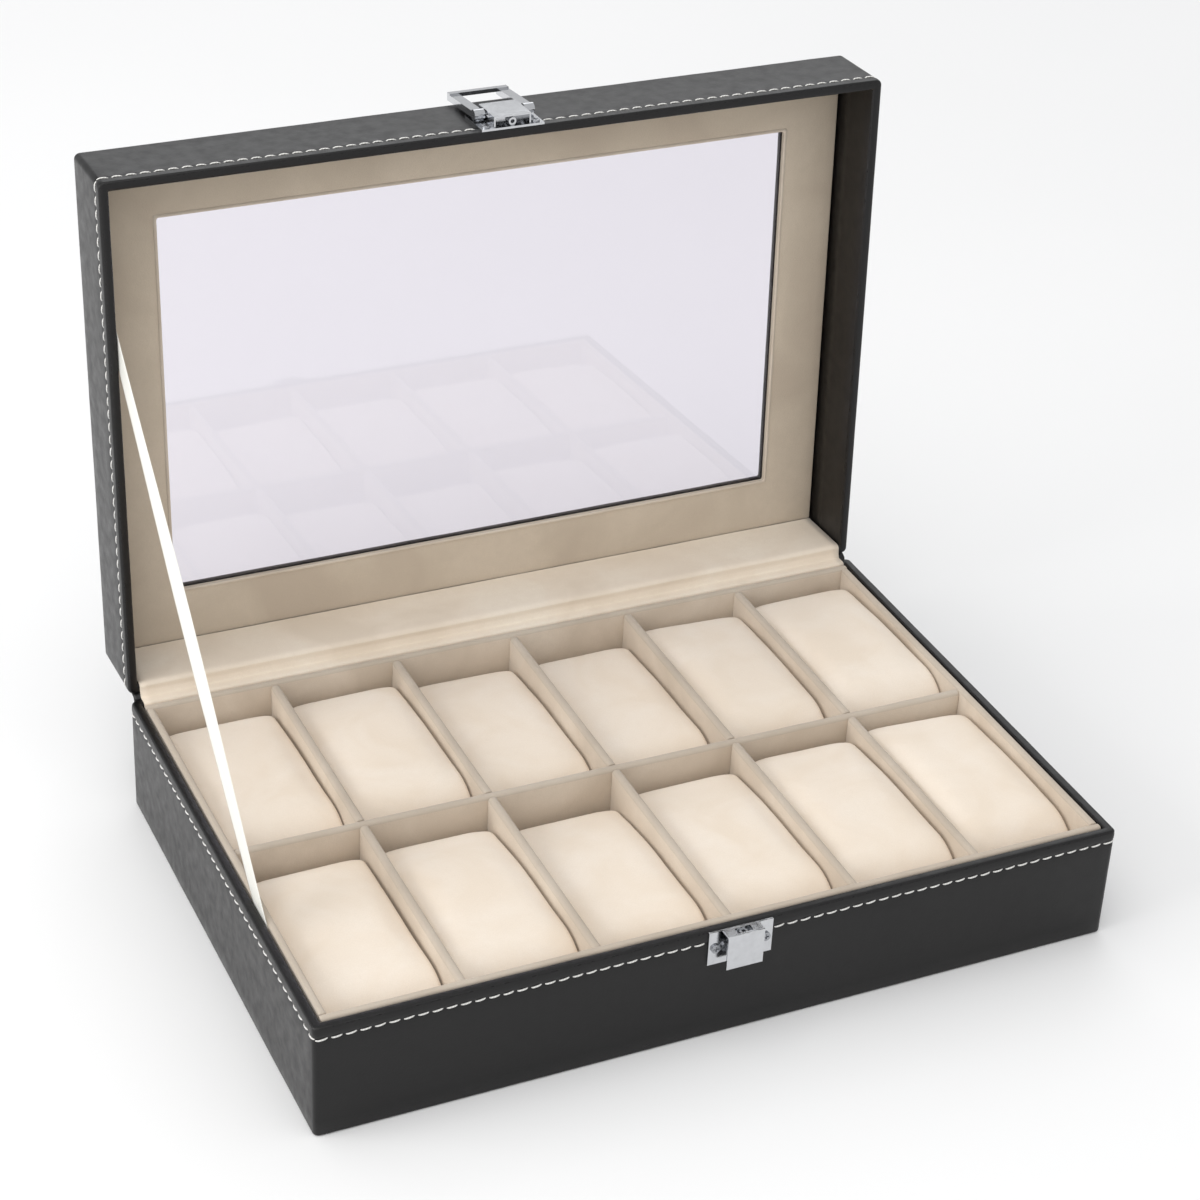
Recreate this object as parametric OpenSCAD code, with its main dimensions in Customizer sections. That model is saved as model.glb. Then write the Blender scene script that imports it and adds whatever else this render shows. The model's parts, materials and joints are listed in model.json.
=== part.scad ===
/* [Box] */
// Width of the box, left to right
box_w = 300; // [240:1:380]
// Depth of the box, front to back
box_d = 200; // [160:1:260]
// Height of the base
base_h = 45; // [38:1:70]
// Height of the lid
lid_h = 31; // [26:1:50]
// Angle between the open lid and its closed position
lid_open = 92.5; // [60:0.5:100]
// Radius of the box's upright corners
corner_r = 2.2; // [1.8:0.1:6]

/* [Shell] */
// Thickness of the leatherette
leather_t = 0.7; // [0.4:0.05:1]
// Thickness of the wall boards
board_t = 2.2; // [1.6:0.1:5]
// Thickness of the base's floor board
floor_t = 3; // [2:0.5:5]
// Thickness of the felt underneath
felt_t = 0.8; // [0.5:0.1:2]
// Distance from the box's sides in to the felt
felt_inset = 2.4; // [2:0.1:6]
// Distance from the ground up to the leatherette's lower edge
cover_lift = 0.3; // [0.2:0.1:0.4]
// How far the base's leatherette is turned in over the rim
turn_in = 10; // [6:1:20]
// Gap between the rims of the closed box
rim_gap = 1.2; // [0.8:0.1:3]
// Distance from the rear faces back to the line that the leather hinge turns about
hinge_back = 1; // [0.5:0.1:2]
// Distance from the box's sides to the ends of the hinge's leather spine
spine_margin = 4; // [3:0.5:12]

/* [Tray] */
// Number of compartments, left to right
columns = 6; // [2:1:6]
// Thickness of the fabric-covered liner boards
liner_t = 3; // [2:0.1:5]
// Slit between the liner and the wall, for the ribbon
liner_slit = 0.4; // [0.4:0.1:1]
// Thickness of the dividers
divider_t = 3.4; // [2:0.1:5]
// How far the dividers' tops lie below the liner's
divider_drop = 0.8; // [0:0.1:4]
// Thickness of the fabric-covered tray floor
tray_floor_t = 1.5; // [1:0.1:3]
// Clearance of the boards that slot into each other
slot_clear = 0.15; // [0.05:0.05:0.4]

/* [Pillows] */
// Depth that each pillow's highest point lies below the dividers
pillow_drop = 4.7; // [3:0.1:15]
// Gap between a pillow and the boards at its sides
pillow_side_gap = 0.6; // [0.4:0.1:3]
// Gap between a pillow and the boards at its front and back
pillow_end_gap = 2; // [0.5:0.1:6]
// Gap between a pillow and the tray floor
pillow_floor_gap = 0.3; // [0.2:0.1:1]
// How much lower the pillow's top is at the front than at the back
pillow_slope = 4.5; // [0:0.5:10]
// Radius of the pillow's front edge
pillow_front_r = 9; // [4:0.5:12]
// Radius of the pillow's rear edge
pillow_back_r = 5; // [3:0.5:12]
// Radius of the pillow's lower edges
pillow_foot_r = 3; // [2:0.5:8]
// Rise of the pillow's crown above its ends
pillow_crown = 2.5; // [1:0.5:6]
// Distance from the pillow's front to its crown
pillow_peak = 54.6; // [40:0.1:60]

/* [Window] */
// Distance from the lid's side walls to the window
window_side = 26.7; // [20:0.1:60]
// Distance from the lid's front to the window
window_front = 25.8; // [20:0.1:60]
// Distance from the lid's rear to the window
window_back = 25.8; // [20:0.1:60]
// Thickness of the glass
glass_t = 1.5; // [1.2:0.1:2]
// How far the glass reaches behind the lining on each side
glass_lap = 5; // [3:0.5:10]
// Clearance round the edge of the glass
glass_clear = 0.2; // [0.1:0.05:0.5]
// Thickness of the lining that holds the glass
lining_lip = 1.3; // [0.6:0.1:2]
// Width of the raised bead round the window
bead_w = 1.4; // [1:0.1:6]
// Height of the raised bead round the window
bead_h = 0.4; // [0.2:0.1:1.5]
// Thickness of the fabric linings
fabric_t = 0.5; // [0.3:0.05:0.8]
// Gap between the window's lining and the lid's walls
lining_gap = 0.3; // [0.2:0.1:1]
// Gap between the ends of the rear linings and the side walls
hinge_lining_gap = 0.6; // [0.3:0.1:2]

/* [Ribbon] */
// Width of the ribbon
ribbon_w = 10; // [6:0.5:15]
// Thickness of the ribbon
ribbon_t = 0.2; // [0.15:0.05:0.3]
// Distance from the hinge to the ribbon, along each rim
ribbon_reach = 137; // [90:1:150]
// Length of ribbon tucked in at each end
ribbon_tuck = 10; // [6:0.5:12]

/* [Clasp] */
// Place of the clasp's middle, left to right
clasp_x = 1; // [-20:0.5:20]
// Thickness of the pressed plates
metal_t = 0.8; // [0.5:0.1:1]
// How far the screwed plates reach past each side of the bridge
plate_wing = 4.9; // [4.1:0.1:8]
// Height of the lid's plate
lid_plate_h = 16; // [13:0.5:20]
// Distance from the lid's rim to its plate
lid_plate_gap = 0.4; // [0.2:0.1:1]
// Height of the base's plate
keeper_plate_h = 13.4; // [10:0.2:18]
// Distance from the base's rim to its plate
keeper_gap = 0.2; // [0.1:0.1:1]
// Width of the bridge on the lid's plate
bridge_w = 14.2; // [11:0.1:18]
// Thickness of the bridge's drawn walls
bridge_t = 0.6; // [0.3:0.05:0.8]
// Distance from the lid plate's lower edge to the bridge
bridge_lift = 0.8; // [0:0.1:2]
// How far the bridge reaches past the hinge pin
bridge_past = 5.4; // [1.2:0.1:6]
// How much narrower the tongue is than the bridge, on each side
tongue_inset = 0.3; // [0:0.1:3]
// Height of the keeper's tongue
tongue_h = 13.8; // [12:0.1:18]
// Height of the tongue's outer face above the wall
tongue_rise = 4.9; // [4:0.1:6]
// Width of the window in the tongue's fold
tongue_window_w = 6; // [3:0.5:8]
// Metal left between the window in the fold and the tongue's faces
tongue_window_edge = 0.35; // [0.2:0.05:0.6]
// Radius of the holes in the small tubes
tube_hole_r = 0.75; // [0.4:0.05:0.9]
// Length of the small tubes
tube_l = 3.6; // [2:0.1:5]
// Gap between the small tubes and the plates that they are welded to
tube_gap = 0.1; // [0.05:0.05:0.15]
// Clearance between the small tubes and what lies outside them
tube_clear = 0.3; // [0.1:0.05:0.5]
// Radius of the hinge pin
pin_r = 0.7; // [0.5:0.05:0.85]
// Running clearance round the hinge pin
pin_clear = 0.05; // [0.02:0.01:0.1]
// Distance from the lid's rim to the hinge pin
pin_up = 10; // [9.5:0.1:15]
// Distance from the front wall out to the hinge pin's axis
pin_rise = 3.1; // [2.9:0.05:3.6]
// Radius of the spring wound round the pin
spring_r = 1; // [0.9:0.05:1.2]
// Clearance between the spring and the bridge
spring_clear = 0.1; // [0.05:0.05:0.3]
// Length of the spring
spring_l = 11; // [6:0.5:12]
// Width of the hasp's rails
rail_w = 3.9; // [3:0.1:5]
// Thickness of the hasp's rails
rail_t = 2.4; // [2:0.1:2.8]
// Clearance between the hasp's rails and the bridge
hasp_gap = 0.5; // [0.3:0.05:0.8]
// Clearance between the rails' hinged ends and the lid's plate
eye_clear = 0.4; // [0.3:0.05:0.6]
// Gap between the folded hasp and the lid's upper edge
rest_gap = 0.25; // [0.2:0.05:0.6]
// Width of the hasp's end bar
end_bar_w = 2.6; // [2:0.1:3.2]
// Thickness of the hasp's end bar
end_bar_t = 1.4; // [1:0.1:1.7]
// How far the end bar's underside lies beyond the pin's axis, away from the wall
end_bar_low = 0.4; // [0.2:0.1:0.6]
// How far the latched end bar lies above the tongue's lower edge
end_bar_tuck = 0.4; // [0.2:0.1:1]
// Clearance below the tongue when the hasp is pulled down
pull_clear = 0.5; // [0.3:0.1:1]

/* [Screws] */
// Radius of the screws' shanks
screw_r = 1; // [0.7:0.05:1.2]
// Radius of the screws' heads
screw_head_r = 1.7; // [1.4:0.05:2]
// Height of the screws' heads
screw_head_h = 0.7; // [0.5:0.1:0.8]
// Length of the screws' shanks
screw_l = 2.4; // [1.5:0.1:2.9]
// Width of the slots in the screws' heads
screw_slot_w = 0.5; // [0.3:0.1:0.8]
// Length of the slots in the screws' heads
screw_slot_l = 2; // [1.4:0.1:2.4]
// Depth of the slots in the screws' heads
screw_slot_d = 0.4; // [0.2:0.1:0.4]
// Distance from the bridge's side to the middle of the outer screws
screw_off = 2.3; // [1.9:0.1:2.8]
// Gap between the heads of the two screws on each side of the keeper
screw_gap = 0.2; // [0.1:0.1:0.5]
// Gap between the heads of the lid plate's screws and the pulled hasp
lid_screw_gap = 0.1; // [0.1:0.1:1]

/* [Hidden] */
$fn = 64;
eps = 0.01;

wall_t = board_t + 2 * leather_t;
base_inner_w = box_w - 2 * wall_t;
base_inner_d = box_d - 2 * wall_t;
board_w = box_w - 2 * leather_t;
board_d = box_d - 2 * leather_t;
skin_gap = 0.05;

// Tray
tray_w = base_inner_w - 2 * liner_slit;
tray_d = base_inner_d - 2 * liner_slit;
inner_w = tray_w - 2 * liner_t;
inner_d = tray_d - 2 * liner_t;
tray_z = felt_t + floor_t;
tray_floor_z = tray_z + tray_floor_t;
divider_top = base_h - divider_drop;
divider_h = divider_top - tray_floor_z;
cell_w = (inner_w - (columns - 1) * divider_t) / columns;
cell_d = (inner_d - divider_t) / 2;
pitch = cell_w + divider_t;

// Pillows, as a profile from front to back
pillow_w = cell_w - 2 * pillow_side_gap;
pillow_d = cell_d - 2 * pillow_end_gap;
pillow_z = tray_floor_z + pillow_floor_gap;
pillow_h = divider_top - pillow_drop - pillow_z;
pillow_steps = 8;

// Lid, as it stands when closed
rim_z = base_h + rim_gap;
top_z = rim_z + lid_h;
board_top_z = top_z - leather_t;
top_board_z = board_top_z - board_t;
lining_z = top_board_z - glass_t - lining_lip;
window_w = box_w - 2 * window_side;
window_d = box_d - window_front - window_back;
window_y = (window_front - window_back) / 2;
hinge_y = box_d / 2 + hinge_back;
hinge_z = base_h + rim_gap / 2;

// Ribbon
ribbon_x = -box_w / 2 + wall_t + liner_slit / 2;
ribbon_y = hinge_y - ribbon_reach;
ribbon_end_y = hinge_y - ribbon_reach * cos(lid_open) + rim_gap / 2 * sin(lid_open);
ribbon_end_z = hinge_z + ribbon_reach * sin(lid_open) + rim_gap / 2 * cos(lid_open);
ribbon_span = norm([ribbon_end_y - ribbon_y, ribbon_end_z - base_h]);
ribbon_slope = atan2(ribbon_end_z - base_h, ribbon_end_y - ribbon_y);

// Clasp
front_y = -box_d / 2;
plate_w = bridge_w + 2 * plate_wing;
tongue_w = bridge_w - 2 * tongue_inset;
rail_x = bridge_w / 2 + hasp_gap;
hasp_w = 2 * (rail_x + rail_w);
bridge_rise = pin_rise + spring_r + spring_clear + bridge_t;
tube_space = min(tongue_rise - metal_t, bridge_rise - bridge_t) - metal_t;
tube_r = (tube_space - tube_gap - tube_clear) / 2;
eye_r = pin_rise - metal_t - eye_clear;
pull = end_bar_w + end_bar_tuck + pull_clear;
screw_x = bridge_w / 2 + screw_off;
screw_pitch = 2 * screw_head_r + screw_gap;
keeper_top = base_h - keeper_gap;
lid_plate_z = rim_z + lid_plate_gap;
bridge_z = lid_plate_z + bridge_lift;
bridge_top = rim_z + pin_up + bridge_past;
pin_z = rim_z + pin_up;
pin_y = front_y - pin_rise;
hasp_l = pin_z - keeper_top + tongue_h - end_bar_tuck;
hasp_tilt = atan((pin_rise - rail_t / 2 - rest_gap) / min(lid_h - pin_up + pull, hasp_l));
lid_screw_z = pin_z - pull - eye_r - screw_head_r - lid_screw_gap;
keeper_screw_z = keeper_top - keeper_plate_h / 2;
keeper_screw_xs = [-screw_x, screw_pitch - screw_x, screw_x - screw_pitch, screw_x];
clasp_screw_xs = [-screw_x, screw_x];

// Limits given as distances from the clasp's middle, from the front wall outwards, and from a height
function across(v) = [clasp_x - v, clasp_x + v];
function proud(low, high) = [front_y - high, front_y - low];
function from(start, length) = [start, start + length];

// A board with upright rounded corners, standing on z = 0
module rounded_plate(w, d, h, r) {
    linear_extrude(height = h) {
        square([w - 2 * r, d], center = true);
        square([w, d - 2 * r], center = true);
        for (x = [-1, 1], y = [-1, 1])
            translate([x * (w / 2 - r), y * (d / 2 - r)]) circle(r);
    }
}

// A cuboid centred on x and y, from z1 to z2
module slab(w, d, z1, z2) {
    translate([-w / 2, -d / 2, z1]) cube([w, d, z2 - z1]);
}

// A cuboid given by its limits
module block(x, y, z) {
    translate([x[0], y[0], z[0]]) cube([x[1] - x[0], y[1] - y[0], z[1] - z[0]]);
}

// A cuboid centred on x, given by its limits in y and z
module slab_x(w, y, z) {
    block([-w / 2, w / 2], y, z);
}

// Puts what is drawn for the closed box into the open lid's place
module opened() {
    translate([0, hinge_y, hinge_z]) rotate([-lid_open, 0, 0])
        translate([0, -hinge_y, -hinge_z]) children();
}

// A block with the outline of the wall boards, whose corners carry the leatherette round
module board_block(z1, z2) {
    translate([0, 0, z1]) rounded_plate(board_w, board_d, z2 - z1, corner_r - leather_t);
}

// The ring of wall boards, from z1 to z2, as one solid to cut with
module board_ring(z1, z2) {
    difference() {
        board_block(z1, z2);
        slab(board_w - 2 * board_t, board_d - 2 * board_t, z1 - eps, z2 + eps);
    }
}

// One front or back wall board; side is -1 at the front and 1 at the back
module long_board(side, z1, z2) {
    intersection() {
        board_block(z1, z2);
        translate([0, side * (board_d - board_t) / 2, 0]) slab(board_w, board_t, z1 - eps, z2 + eps);
    }
}

// One left or right wall board; side is -1 at the left and 1 at the right
module short_board(side, z1, z2) {
    translate([side * (board_w - board_t) / 2, 0, 0]) slab(board_t, board_d - 2 * board_t, z1, z2);
}

// Round holes from the front through whatever stands there
module screw_holes(xs, z, r) {
    for (x = xs)
        translate([clasp_x + x, front_y - metal_t - eps, z]) rotate([-90, 0, 0])
            cylinder(h = screw_l + 2 * eps, r = r);
}

// Pan-head screws with cross slots, driven from the front
module screws(xs, z) {
    for (x = xs)
        translate([clasp_x + x, front_y - metal_t, z]) rotate([-90, 0, 0]) difference() {
            union() {
                cylinder(h = screw_l, r = screw_r);
                translate([0, 0, -screw_head_h]) cylinder(h = screw_head_h, r = screw_head_r);
            }
            for (a = [0, 90])
                rotate([0, 0, a])
                    slab(screw_slot_l, screw_slot_w, -screw_head_h - eps, screw_slot_d - screw_head_h);
        }
}

// A small upright tube on a plate, with its lower end at height z
module plate_tube(z) {
    rib_w = 2 * tube_hole_r;
    translate([clasp_x, front_y - metal_t - tube_r - tube_gap, z]) difference() {
        union() {
            cylinder(h = tube_l, r = tube_r);
            block([-rib_w / 2, rib_w / 2], [tube_hole_r, tube_r + tube_gap], [0, tube_l]);
        }
        translate([0, 0, -eps]) cylinder(h = tube_l + 2 * eps, r = tube_hole_r);
    }
}

/* Base */

module bottom_felt() {
    color("#1b1b1d") slab(box_w - 2 * felt_inset, box_d - 2 * felt_inset, 0, felt_t);
}

module floor_board() {
    color("#b08d5f") slab(board_w - 2 * board_t, board_d - 2 * board_t, felt_t, tray_z);
}

module base_front_board() {
    color("#b08d5f") difference() {
        long_board(-1, felt_t, base_h - leather_t);
        screw_holes(keeper_screw_xs, keeper_screw_z, screw_r);
    }
}

module base_back_board() {
    color("#b08d5f") long_board(1, felt_t, base_h - leather_t);
}

module base_left_board() {
    color("#b08d5f") short_board(-1, felt_t, base_h - leather_t);
}

module base_right_board() {
    color("#b08d5f") short_board(1, felt_t, base_h - leather_t);
}

// Leatherette round the walls, over the rim and turned in
module base_cover() {
    color("#2c2c2f") difference() {
        translate([0, 0, cover_lift]) rounded_plate(box_w, box_d, base_h - cover_lift, corner_r);
        slab(base_inner_w, base_inner_d, 0, base_h + eps);
        slab(board_w - 2 * board_t, board_d - 2 * board_t, 0, base_h - turn_in);
        board_ring(0, base_h - leather_t);
        screw_holes(keeper_screw_xs, keeper_screw_z, screw_r);
    }
}

module liner_front() {
    color("#d9c7b2") translate([0, (liner_t - tray_d) / 2, 0]) slab(tray_w, liner_t, tray_z, base_h);
}

module liner_back() {
    color("#d9c7b2") translate([0, (tray_d - liner_t) / 2, 0]) slab(tray_w, liner_t, tray_z, base_h);
}

module liner_left() {
    color("#d9c7b2") translate([(liner_t - tray_w) / 2, 0, 0]) slab(liner_t, inner_d, tray_z, base_h);
}

module liner_right() {
    color("#d9c7b2") translate([(tray_w - liner_t) / 2, 0, 0]) slab(liner_t, inner_d, tray_z, base_h);
}

module tray_floor() {
    color("#d9c7b2") slab(inner_w, inner_d, tray_z, tray_floor_z);
}

// X position of divider i, counted from 1 at the left
function divider_x(i) = -inner_w / 2 + i * pitch - divider_t / 2;

// Long divider, slotted from above for the short-way dividers
module cross_divider() {
    color("#d9c7b2") difference() {
        slab(inner_w, divider_t, tray_floor_z, divider_top);
        for (i = [1:columns - 1])
            translate([divider_x(i), 0, 0])
                slab(divider_t + 2 * slot_clear, divider_t + 2 * eps, tray_floor_z + divider_h / 2, base_h);
    }
}

// Short-way divider i, slotted from below for the long one
module divider(i) {
    color("#d9c7b2") translate([divider_x(i), 0, 0]) difference() {
        slab(divider_t, inner_d, tray_floor_z, divider_top);
        slab(divider_t + 2 * eps, divider_t + 2 * slot_clear, tray_z, tray_floor_z + divider_h / 2);
    }
}

// Points of a round corner with centre c and radius r, from angle a1 to a2
function arc(c, r, a1, a2) = [
    for (k = [0:pillow_steps])
        let (a = a1 + (a2 - a1) * k / pillow_steps) [c[0] + r * cos(a), c[1] + r * sin(a)]
];

// Height of the pillow's top at distance y from its front
function pillow_top(y) =
    pillow_h - pillow_slope * (1 - y / pillow_d) - pillow_crown * pow(y / pillow_peak - 1, 2);

// Loaf-shaped profile of a pillow, front edge at y = 0 and underside at z = 0
function pillow_profile() = let (
    front = [pillow_front_r, pillow_top(pillow_front_r) - pillow_front_r],
    back = [pillow_d - pillow_back_r, pillow_top(pillow_d - pillow_back_r) - pillow_back_r]
) concat(
    arc([pillow_foot_r, pillow_foot_r], pillow_foot_r, 270, 180),
    arc(front, pillow_front_r, 180, 96),
    [
        for (k = [1:pillow_steps - 1])
            let (y = front[0] + (back[0] - front[0]) * k / pillow_steps) [y, pillow_top(y)]
    ],
    arc(back, pillow_back_r, 94, 0),
    arc([pillow_d - pillow_foot_r, pillow_foot_r], pillow_foot_r, 0, -90)
);

// Pillow i, counted from 1 at the back left, six to a row
module pillow(i) {
    row = floor((i - 1) / columns);
    column = (i - 1) % columns;
    x = -inner_w / 2 + column * pitch + pillow_side_gap;
    y = (row == 0 ? divider_t / 2 : -inner_d / 2) + pillow_end_gap;
    color("#efe3cf") translate([x, y, pillow_z]) rotate([90, 0, 90])
        linear_extrude(height = pillow_w) polygon(pillow_profile());
}

// Plate with a tongue folded over from its top edge, and a window in the fold
module keeper_plate() {
    window_depth = tongue_rise - 2 * metal_t - 2 * tongue_window_edge;
    color("#c9cbd0") difference() {
        union() {
            block(
                across(plate_w / 2),
                proud(0, metal_t),
                from(keeper_top - keeper_plate_h, keeper_plate_h)
            );
            block(across(tongue_w / 2), proud(0, tongue_rise), from(keeper_top - metal_t, metal_t));
            block(
                across(tongue_w / 2),
                proud(tongue_rise - metal_t, tongue_rise),
                from(keeper_top - tongue_h, tongue_h)
            );
        }
        screw_holes(keeper_screw_xs, keeper_screw_z, screw_r);
        translate([clasp_x, front_y - tongue_rise / 2, 0])
            slab(tongue_window_w, window_depth, keeper_top - metal_t - eps, keeper_top + eps);
    }
}

// Small upright tube on the keeper, under the window
module keeper_tube() {
    color("#c9cbd0") plate_tube(keeper_top - metal_t - tube_l);
}

module keeper_screws() {
    color("#b9bcc2") screws(keeper_screw_xs, keeper_screw_z);
}

/* Between base and lid */

// Thin leather spine along the rear edge, seen where the lid leaves the base
module hinge_spine() {
    outer = box_d / 2;
    color("#232326") translate([spine_margin - box_w / 2, 0, 0]) rotate([90, 0, 90])
        linear_extrude(height = box_w - 2 * spine_margin) polygon([
            [outer - leather_t + skin_gap, base_h + skin_gap],
            [outer, base_h + skin_gap],
            [outer + hinge_back + rim_gap / 2, base_h + hinge_back + rim_gap / 2 - skin_gap],
            [outer + rim_gap / 2, base_h + hinge_back + rim_gap / 2 - skin_gap]
        ]);
}

// Fabric strip over the base's rear rim, up to the lid's rear rim
module hinge_lining() {
    front = box_d / 2 - wall_t - liner_slit;
    color("#d5c3ae") slab_x(
        base_inner_w - 2 * hinge_lining_gap,
        [front, box_d / 2 - leather_t],
        from(base_h + skin_gap, fabric_t)
    );
}

// Satin ribbon from the base's left slit to the lid's left wall
module ribbon() {
    color("#f6f5ee") translate([ribbon_x, ribbon_y, base_h]) rotate([ribbon_slope, 0, 0])
        block(
            [-ribbon_t / 2, ribbon_t / 2],
            [-ribbon_tuck, ribbon_span + ribbon_tuck],
            [-ribbon_w / 2, ribbon_w / 2]
        );
}

/* Lid */

// Cuts the window, wider by grow on each side, from z1 to z2
module window_cut(grow, z1, z2) {
    translate([0, window_y, 0]) slab(window_w + 2 * grow, window_d + 2 * grow, z1, z2);
}

module lid_top_solid() {
    difference() {
        board_block(top_board_z, board_top_z);
        window_cut(leather_t, top_board_z - eps, board_top_z + eps);
    }
}

module lid_top_board() {
    color("#b08d5f") opened() lid_top_solid();
}

module lid_front_board() {
    color("#b08d5f") opened() difference() {
        long_board(-1, rim_z + leather_t, top_board_z);
        screw_holes(clasp_screw_xs, lid_screw_z, screw_r);
    }
}

module lid_back_board() {
    color("#b08d5f") opened() long_board(1, rim_z + leather_t, top_board_z);
}

module lid_left_board() {
    color("#b08d5f") opened() short_board(-1, rim_z + leather_t, top_board_z);
}

module lid_right_board() {
    color("#b08d5f") opened() short_board(1, rim_z + leather_t, top_board_z);
}

// Leatherette over the lid's outside, its rim, its inner walls and the window's edge
module lid_cover() {
    color("#2c2c2f") opened() difference() {
        translate([0, 0, rim_z]) rounded_plate(box_w, box_d, lid_h, corner_r);
        slab(base_inner_w, base_inner_d, rim_z - eps, top_board_z);
        board_ring(rim_z + leather_t, top_board_z);
        lid_top_solid();
        window_cut(0, top_board_z - eps, top_z + eps);
        screw_holes(clasp_screw_xs, lid_screw_z, screw_r);
    }
}

module glass_pane() {
    glass_grow = glass_lap - glass_clear;
    color("#dfe6ee", 0.35) opened() window_cut(glass_grow, top_board_z - glass_t, top_board_z);
}

// Fabric-covered panel that holds the glass from inside
module lid_lining() {
    color("#c7b6a0") opened() difference() {
        slab(base_inner_w - 2 * lining_gap, base_inner_d - 2 * lining_gap, lining_z, top_board_z);
        window_cut(0, lining_z - eps, top_board_z + eps);
        window_cut(glass_lap, top_board_z - glass_t, top_board_z + eps);
    }
}

// Raised bead sewn round the window
module window_bead() {
    color("#cfbfa9") opened() difference() {
        window_cut(bead_w, lining_z - bead_h, lining_z);
        window_cut(0, lining_z - bead_h - eps, lining_z + eps);
    }
}

// Fabric on the inside of the lid's rear wall
module lid_back_lining() {
    color("#d5c3ae") opened() slab_x(
        base_inner_w - 2 * hinge_lining_gap,
        from(base_inner_d / 2 - fabric_t, fabric_t),
        [rim_z + leather_t, lining_z]
    );
}

// Plate and raised bridge on the lid, one pressing, slotted for the pin
module clasp_plate() {
    color("#c9cbd0") opened() difference() {
        union() {
            block(across(plate_w / 2), proud(0, metal_t), from(lid_plate_z, lid_plate_h));
            block(across(bridge_w / 2), proud(0, bridge_rise), [bridge_z, bridge_top]);
        }
        block(
            across(bridge_w / 2 - bridge_t),
            proud(metal_t, bridge_rise - bridge_t),
            [bridge_z - eps, bridge_top + eps]
        );
        pin_slot();
        screw_holes(clasp_screw_xs, lid_screw_z, screw_r);
    }
}

// Slot in both walls of the bridge that the pin slides along
module pin_slot() {
    r = pin_r + pin_clear;
    translate([clasp_x - bridge_w, pin_y, 0]) rotate([0, 90, 0]) {
        translate([-pin_z, 0, 0]) cylinder(h = 2 * bridge_w, r = r);
        translate([pull - pin_z, 0, 0]) cylinder(h = 2 * bridge_w, r = r);
        translate([-pin_z, -r, 0]) cube([pull, 2 * r, 2 * bridge_w]);
    }
}

// Small tube inside the bridge that faces the rim
module clasp_tube() {
    color("#c9cbd0") opened() plate_tube(bridge_z);
}

module clasp_screws() {
    color("#b9bcc2") opened() screws(clasp_screw_xs, lid_screw_z);
}

/* Hasp, folded back */

// A round bar on the hasp's pin, l long and starting x from the clasp's middle
module on_pin(x, l, r) {
    translate([clasp_x + x, pin_y, pin_z]) rotate([0, 90, 0]) cylinder(h = l, r = r);
}

// Turns the folded hasp about its pin until it nearly rests on the lid
module tilted() {
    translate([0, pin_y, pin_z]) rotate([-hasp_tilt, 0, 0]) translate([0, -pin_y, -pin_z]) children();
}

module hinge_pin() {
    color("#c9cbd0") opened() on_pin(-hasp_w / 2, hasp_w, pin_r);
}

// Coiled spring round the pin, as the sleeve that its turns fill
module clasp_spring() {
    color("#d8dade") opened() difference() {
        on_pin(-spring_l / 2, spring_l, spring_r);
        on_pin(-hasp_w / 2, hasp_w, pin_r);
    }
}

// Frame with two rails and an end bar, tilted to rest on the lid's upper edge
module hasp() {
    far = pin_z + hasp_l;
    rail_y = from(pin_y - rail_t / 2, rail_t);
    end_bar_y = from(pin_y - end_bar_low - end_bar_t, end_bar_t);
    color("#c9cbd0") opened() tilted() difference() {
        union() {
            for (x = [-rail_x - rail_w, rail_x]) {
                on_pin(x, rail_w, eye_r);
                block(from(clasp_x + x, rail_w), rail_y, [pin_z, far]);
            }
            block(across(hasp_w / 2), end_bar_y, [far - end_bar_w, far]);
        }
        on_pin(-hasp_w, 2 * hasp_w, pin_r);
    }
}

bottom_felt();
floor_board();
base_front_board();
base_back_board();
base_left_board();
base_right_board();
base_cover();
liner_front();
liner_back();
liner_left();
liner_right();
tray_floor();
cross_divider();
for (i = [1:columns - 1]) {
    divider(i);
}
for (i = [1:2 * columns]) {
    pillow(i);
}
keeper_plate();
keeper_tube();
keeper_screws();
hinge_spine();
hinge_lining();
ribbon();
lid_top_board();
lid_front_board();
lid_back_board();
lid_left_board();
lid_right_board();
lid_cover();
glass_pane();
lid_lining();
window_bead();
lid_back_lining();
clasp_plate();
clasp_tube();
clasp_screws();
hinge_pin();
clasp_spring();
hasp();
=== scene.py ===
import json
import math

import bmesh
import bpy
import numpy as np
from mathutils import Matrix, Vector, noise


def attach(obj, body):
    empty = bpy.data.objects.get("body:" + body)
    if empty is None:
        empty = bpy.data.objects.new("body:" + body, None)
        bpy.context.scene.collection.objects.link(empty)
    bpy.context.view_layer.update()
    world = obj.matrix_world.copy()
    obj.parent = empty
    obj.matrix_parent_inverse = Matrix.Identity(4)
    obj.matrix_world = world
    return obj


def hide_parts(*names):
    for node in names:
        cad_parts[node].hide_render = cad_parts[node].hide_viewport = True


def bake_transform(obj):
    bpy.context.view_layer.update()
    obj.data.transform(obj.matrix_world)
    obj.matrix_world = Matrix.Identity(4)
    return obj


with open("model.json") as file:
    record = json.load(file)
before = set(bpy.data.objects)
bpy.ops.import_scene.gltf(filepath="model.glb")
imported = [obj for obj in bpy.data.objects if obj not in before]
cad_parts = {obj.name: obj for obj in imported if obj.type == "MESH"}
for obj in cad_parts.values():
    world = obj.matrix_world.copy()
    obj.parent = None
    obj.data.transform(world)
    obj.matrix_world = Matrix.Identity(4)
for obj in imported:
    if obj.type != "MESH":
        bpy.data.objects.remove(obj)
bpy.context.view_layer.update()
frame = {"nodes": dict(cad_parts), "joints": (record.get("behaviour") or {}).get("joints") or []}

MM = 0.001
COLUMNS = 6
CAD = frame["nodes"]
lid_joint = next(j for j in frame["joints"] if j["name"] == "lid_hinge")
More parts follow.
